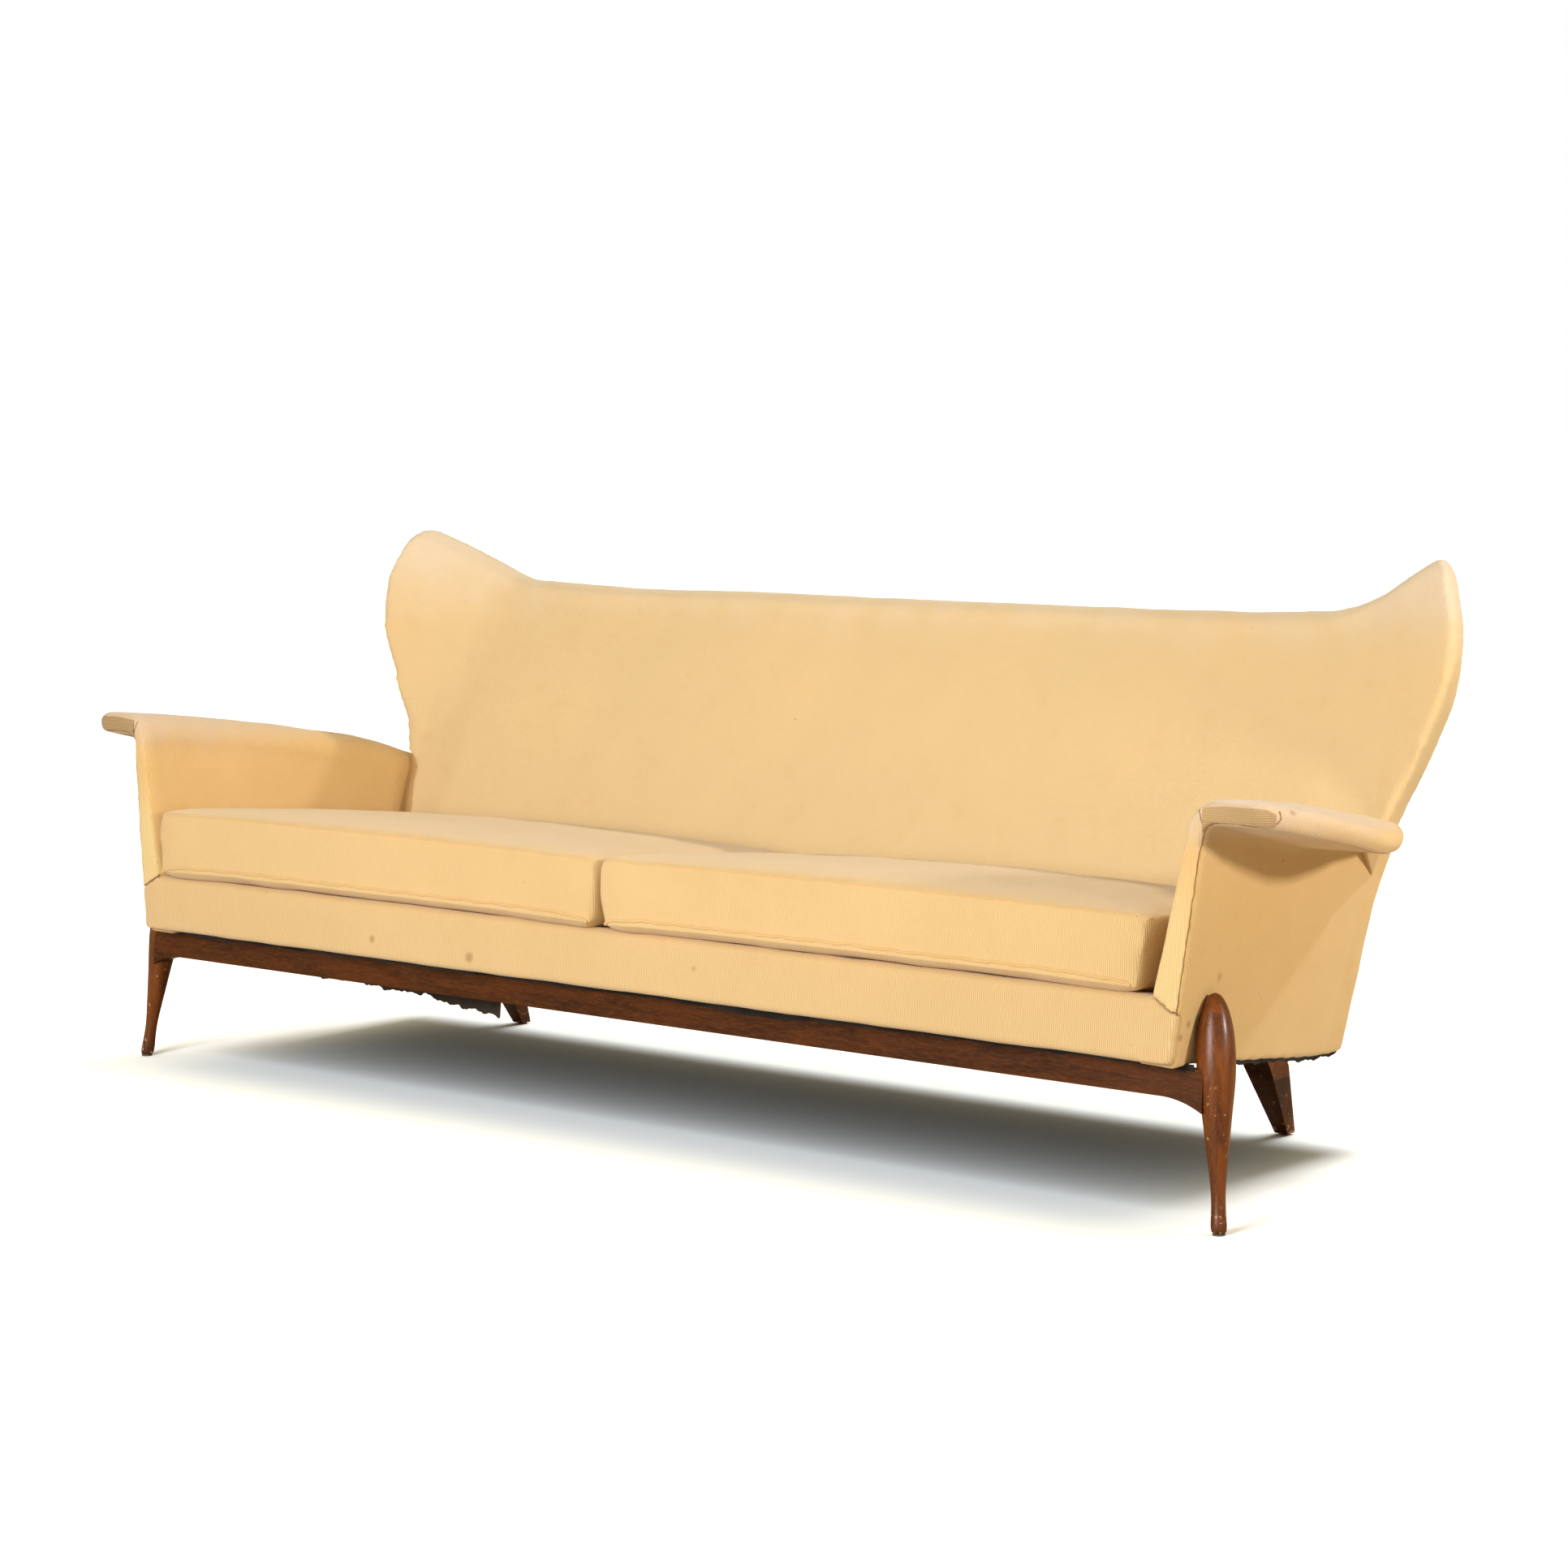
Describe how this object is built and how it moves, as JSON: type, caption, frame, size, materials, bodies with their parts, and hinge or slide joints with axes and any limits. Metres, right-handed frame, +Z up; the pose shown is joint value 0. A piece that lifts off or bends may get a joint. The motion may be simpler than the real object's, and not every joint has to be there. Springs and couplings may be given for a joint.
{
  "type": "sofa",
  "caption": "Long wing-back sofa in golden wool with broad flared arm tops, loose seat cushions and splayed turned walnut legs.",
  "frame": {"origin": "on the floor under the middle of the sofa", "axes": "+Z up, +X to the right seen from the front, +Y towards the back, front faces -Y"},
  "size_m": [2.4994, 0.827, 0.921],
  "materials": {
    "walnut": "satin, oiled",
    "cushion_wool": "woven wool",
    "body_wool": "woven wool, ribbed",
    "black_edging": "matte, frayed",
    "bottom_cloth": "coarse, dusty",
    "jute": "coarse",
    "deck_lining": "plain cotton",
    "spring_steel": "dull",
    "bolt_steel": "zinc plated",
    "glide_plastic": "worn",
    "frame_beech": "raw"
  },
  "bodies": {
    "sofa_frame": {"arm_front_post_left": "frame_beech", "arm_front_post_right": "frame_beech", "arm_front_strip_left": "body_wool", "arm_front_strip_right": "body_wool", "arm_outer_panel_left": "body_wool", "arm_outer_panel_right": "body_wool", "arm_pad_left": "body_wool", "arm_pad_right": "body_wool", "arm_rear_post_left": "frame_beech", "arm_rear_post_right": "frame_beech", "arm_sill_left": "frame_beech", "arm_sill_right": "frame_beech", "arm_top_rail_left": "frame_beech", "arm_top_rail_right": "frame_beech", "back_lower_rail": "frame_beech", "back_outer_cover": "body_wool", "back_pad": "body_wool", "back_post_left": "frame_beech", "back_post_right": "frame_beech", "back_top_rail": "frame_beech", "back_upright_left": "frame_beech", "back_upright_middle": "frame_beech", "back_upright_right": "frame_beech", "back_webbing": "jute", "black_edge_strip": "black_edging", "corner_blocks": "frame_beech", "deck_cloth": "jute", "deck_pad": "deck_lining", "dust_cover": "bottom_cloth", "flare_board_left": "frame_beech", "flare_board_right": "frame_beech", "front_border": "body_wool", "front_leg_bolts": "bolt_steel", "front_leg_left": "walnut", "front_leg_right": "walnut", "front_rail_left": "walnut", "front_rail_middle": "walnut", "front_rail_right": "walnut", "leg_glides": "glide_plastic", "rail_end_block_left": "walnut", "rail_end_block_right": "walnut", "rear_leg_bolts": "bolt_steel", "rear_leg_left": "walnut", "rear_leg_right": "walnut", "seat_back_rail": "frame_beech", "seat_cross_rail_left": "frame_beech", "seat_cross_rail_right": "frame_beech", "seat_front_rail": "frame_beech", "seat_side_rail_left": "frame_beech", "seat_side_rail_right": "frame_beech", "seat_springs": "spring_steel", "spring_clips": "spring_steel", "wing_former_left": "frame_beech", "wing_former_right": "frame_beech"},
    "cushion_left": {"seat_cushion_left": "cushion_wool"},
    "cushion_right": {"seat_cushion_right": "cushion_wool"}
  },
  "joints": [
    {"name": "lift_cushion_left", "type": "slide", "parent": "sofa_frame", "child": "cushion_left", "axis": [0, 0, 1], "range_m": [0, 0.35]},
    {"name": "lift_cushion_right", "type": "slide", "parent": "sofa_frame", "child": "cushion_right", "axis": [0, 0, 1], "range_m": [0, 0.35]}
  ]
}
